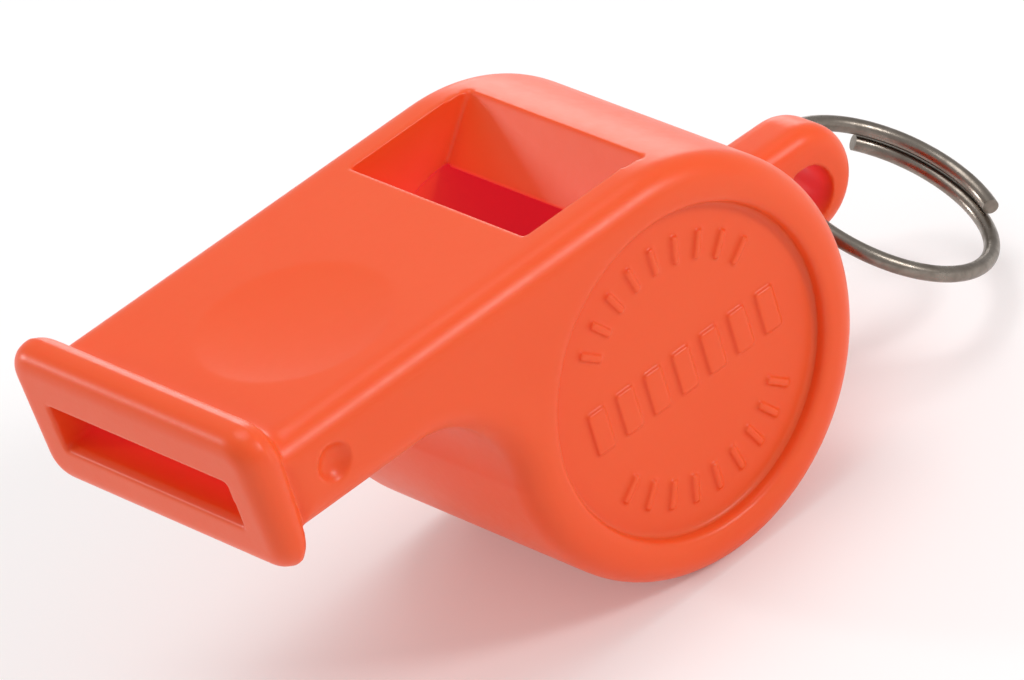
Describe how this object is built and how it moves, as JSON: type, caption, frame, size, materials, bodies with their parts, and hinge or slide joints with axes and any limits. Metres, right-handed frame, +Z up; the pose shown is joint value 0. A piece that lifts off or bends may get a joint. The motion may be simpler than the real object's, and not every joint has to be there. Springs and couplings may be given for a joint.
{
  "type": "pea whistle",
  "caption": "Moulded pea whistle with a lipped mouthpiece, a round chamber closed by a recessed side cap, a loose pea, and a steel split ring through its lug.",
  "frame": {"origin": "centre of the bounding box at its lowest level, under the barrel, ring included", "axes": "+X from the mouth to the ring lug along the flat top face, +Y across the whistle away from the side cap, +Z up out of the top face"},
  "size_m": [0.0596, 0.0218, 0.0271],
  "materials": {
    "moulding": "semi-gloss moulded orange, fine moulding haze, softly rounded edges",
    "pea_ball": "bare cork, fine dark pores",
    "ring_wire": "drawn steel wire, slightly dulled"
  },
  "bodies": {
    "whistle": {"body_shell": "moulding", "side_cap": "moulding"},
    "pea": {"pea": "pea_ball"},
    "ring": {"split_ring": "ring_wire"}
  },
  "joints": [
    {"name": "pea_orbit", "type": "hinge", "parent": "whistle", "child": "pea", "pos_m": [0.00034, 0, 0.0127], "axis": [0, 1, 0], "continuous": true},
    {"name": "ring_swing", "type": "hinge", "parent": "whistle", "child": "ring", "pos_m": [0.01714, 0, 0.0119], "axis": [0, 1, 0], "range_deg": [-135, 70]}
  ]
}
